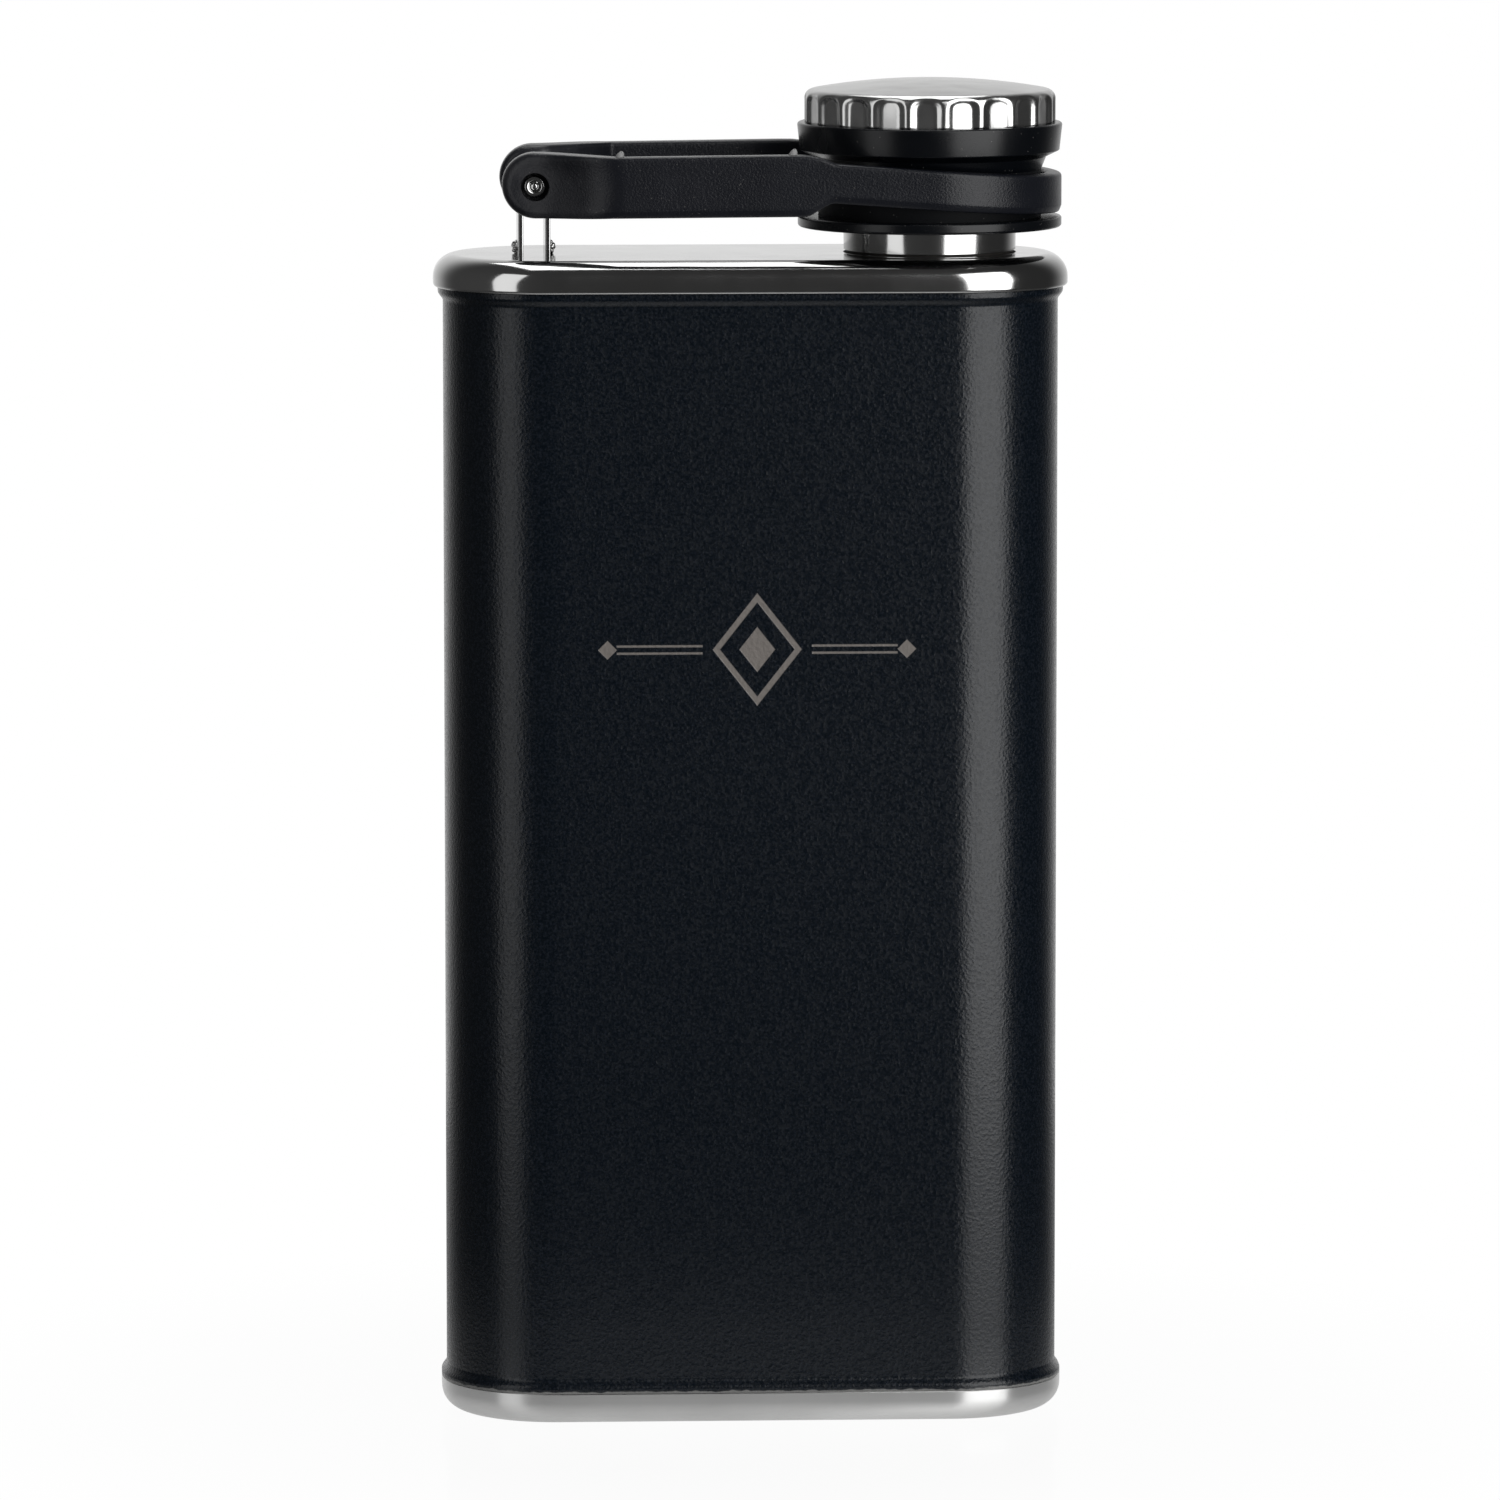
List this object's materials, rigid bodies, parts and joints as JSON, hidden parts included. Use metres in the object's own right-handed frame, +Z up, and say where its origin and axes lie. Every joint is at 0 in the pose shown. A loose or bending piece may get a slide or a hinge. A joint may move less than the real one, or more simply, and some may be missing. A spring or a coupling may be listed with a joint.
{
  "type": "hip flask",
  "caption": "Slim coated steel hip flask with polished covers and a screw cap held captive by a hinged loop arm.",
  "frame": {"origin": "middle of the base, on the ground", "axes": "+Z up out of the base, +X towards the neck and cap, the broad front face looks along -Y"},
  "size_m": [0.0746, 0.0312, 0.1576],
  "materials": {
    "black_coat": "fine textured powder coat",
    "polished_steel": "mirror polished",
    "satin_steel": "fine satin",
    "black_plastic": "satin moulded",
    "seal_rubber": "translucent white silicone"
  },
  "bodies": {
    "flask": {"body_tube": "black_coat", "top_cover": "polished_steel", "base_cover": "satin_steel", "neck": "polished_steel", "hinge_bracket": "polished_steel", "bracket_welds": "polished_steel"},
    "arm": {"retaining_arm": "black_plastic", "hinge_pin": "polished_steel"},
    "seal": {"cap_gasket": "seal_rubber"},
    "cap": {"cap_core": "black_plastic", "cap_flange": "black_plastic", "cap_shell": "polished_steel"}
  },
  "joints": [
    {"name": "arm_swing", "type": "hinge", "parent": "flask", "child": "arm", "pos_m": [-0.0255, 0, 0.1456], "axis": [0, -1, 0], "range_deg": [0, 190]},
    {"name": "cap_lift", "type": "slide", "parent": "arm", "child": "seal", "axis": [0, 0, 1], "range_m": [0, 0.00035]},
    {"name": "cap_turn", "type": "hinge", "parent": "seal", "child": "cap", "pos_m": [0.0211, 0, 0.1372], "axis": [0, 0, 1], "continuous": true}
  ]
}
